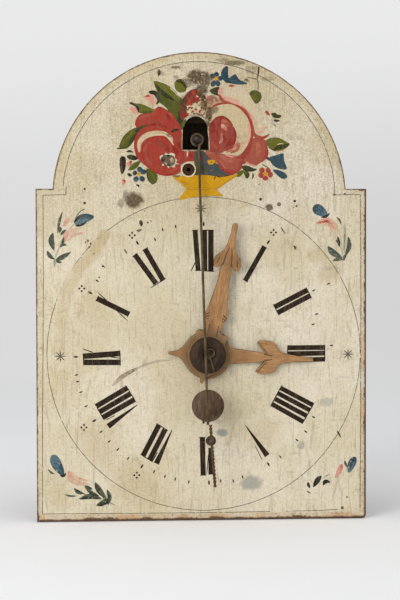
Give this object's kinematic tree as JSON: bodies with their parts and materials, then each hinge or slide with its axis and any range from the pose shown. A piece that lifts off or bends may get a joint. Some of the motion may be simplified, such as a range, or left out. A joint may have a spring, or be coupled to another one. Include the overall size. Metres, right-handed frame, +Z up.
{
  "type": "black forest shield clock",
  "caption": "Wall clock with an arched painted wooden shield, carved hands, a wire pendulum in front and a wooden-framed verge movement behind.",
  "frame": {"origin": "where the axis of the hands meets the wall, on the rear face of the back board", "axes": "+Z up, -Y out of the painted front, +Y into the wall, +X to the right of someone facing the dial"},
  "size_m": [0.24, 0.1528, 0.3394],
  "materials": {
    "painted_board": "aged cream oil paint on spruce, crazed and worn",
    "case_wood": "bare aged spruce and beech",
    "carved_wood": "carved hands, stained and worn",
    "dark_wood": "dark turned wood",
    "bob_paint": "worn red-brown paint",
    "brass": "dull tarnished",
    "iron": "dark wrought iron and wire"
  },
  "bodies": {
    "case": {"back_board": "case_wood", "top_board": "case_wood", "bottom_board": "case_wood", "front_plate": "case_wood", "rear_plate": "case_wood", "hanging_loop": "iron", "shield_board": "painted_board", "shield_plug": "dark_wood", "shield_batten_upper": "case_wood", "shield_batten_lower": "case_wood", "shield_peg_upper_left": "dark_wood", "shield_peg_upper_right": "dark_wood", "shield_peg_lower_left": "dark_wood", "shield_peg_lower_right": "dark_wood", "great_bush_front": "brass", "great_bush_rear": "brass", "intermediate_bush_front": "brass", "intermediate_bush_rear": "brass", "verge_bush_front": "brass", "verge_bush_rear": "brass", "minute_stud": "iron", "minute_stud_collar": "brass", "potence": "case_wood", "crown_cock": "brass", "crown_cock_post": "case_wood", "left_hinge_rod": "iron", "right_hinge_rod": "iron"},
    "great_wheel": {"great_arbor": "iron", "great_wheel": "brass", "click_pin": "iron"},
    "rope_pulley": {"rope_pulley": "case_wood", "ratchet_wheel": "brass"},
    "click": {"click": "iron"},
    "intermediate": {"intermediate_arbor": "iron", "intermediate_pinion": "case_wood", "contrate_wheel": "brass"},
    "crown": {"crown_arbor": "iron", "crown_pinion": "case_wood", "crown_wheel": "brass"},
    "minute_hand": {"cannon_pinion": "brass", "cannon_pipe": "brass", "minute_hand": "carved_wood", "hand_boss": "dark_wood", "hand_cotter": "iron"},
    "minute_wheel": {"minute_wheel": "brass", "minute_pinion": "brass"},
    "hour_hand": {"hour_wheel": "brass", "hour_pipe": "brass", "hour_hand": "carved_wood"},
    "pendulum": {"verge": "iron", "pendulum_rod": "iron", "pendulum_tail": "iron"},
    "bob": {"pendulum_bob": "bob_paint", "bob_wedge": "dark_wood"},
    "bead": {"rating_bead": "bob_paint"},
    "left_door": {"left_door": "case_wood", "left_door_knob": "dark_wood"},
    "right_door": {"right_door": "case_wood", "right_door_knob": "dark_wood"}
  },
  "joints": [
    {"name": "intermediate_turn", "type": "hinge", "parent": "case", "child": "intermediate", "pos_m": [-0.0069, -0.06, 0.05809], "axis": [0, 1, 0], "continuous": true},
    {"name": "great_wheel_turn", "type": "hinge", "parent": "case", "child": "great_wheel", "pos_m": [0, -0.07, 0], "axis": [0, 1, 0], "continuous": true},
    {"name": "crown_wheel_turn", "type": "hinge", "parent": "case", "child": "crown", "pos_m": [-0.0069, -0.06, 0.12], "axis": [0, 0, 1], "continuous": true},
    {"name": "minute_hand_turn", "type": "hinge", "parent": "case", "child": "minute_hand", "pos_m": [0, -0.13, 0], "axis": [0, 1, 0], "continuous": true},
    {"name": "minute_wheel_turn", "type": "hinge", "parent": "case", "child": "minute_wheel", "pos_m": [0, -0.105, -0.03], "axis": [0, 1, 0], "continuous": true},
    {"name": "hour_hand_turn", "type": "hinge", "parent": "case", "child": "hour_hand", "pos_m": [0, -0.12, 0], "axis": [0, 1, 0], "continuous": true},
    {"name": "rope_pulley_wind", "type": "hinge", "parent": "great_wheel", "child": "rope_pulley", "pos_m": [0, -0.07, 0], "axis": [0, 1, 0], "continuous": true},
    {"name": "click_lift", "type": "hinge", "parent": "great_wheel", "child": "click", "pos_m": [0.01663, -0.0782, 0.0205], "axis": [0, 1, 0], "range_deg": [0, 12]},
    {"name": "pendulum_swing", "type": "hinge", "parent": "case", "child": "pendulum", "pos_m": [-0.0069, -0.1, 0.1553], "axis": [0, 1, 0], "range_deg": [-16.45, 19.55]},
    {"name": "bob_slide", "type": "slide", "parent": "pendulum", "child": "bob", "axis": [-0.027, 0.0741, 0.9969], "range_m": [-0.001, 0.008]},
    {"name": "bead_slide", "type": "slide", "parent": "pendulum", "child": "bead", "axis": [-0.0688, 0.0741, 0.9949], "range_m": [-0.025, 0.005]},
    {"name": "left_door_hinge", "type": "hinge", "parent": "case", "child": "left_door", "pos_m": [-0.0676, -0.0113, 0.05], "axis": [0, 0, -1], "range_deg": [0, 100]},
    {"name": "right_door_hinge", "type": "hinge", "parent": "case", "child": "right_door", "pos_m": [0.061, -0.0113, 0.05], "axis": [0, 0, 1], "range_deg": [0, 100]}
  ],
  "couplings": [
    {"joint": "great_wheel_turn", "follows": "intermediate_turn", "ratio": -0.083333},
    {"joint": "crown_wheel_turn", "follows": "intermediate_turn", "ratio": -11},
    {"joint": "minute_wheel_turn", "follows": "minute_hand_turn", "ratio": -0.33333},
    {"joint": "hour_hand_turn", "follows": "minute_hand_turn", "ratio": 0.083333}
  ]
}
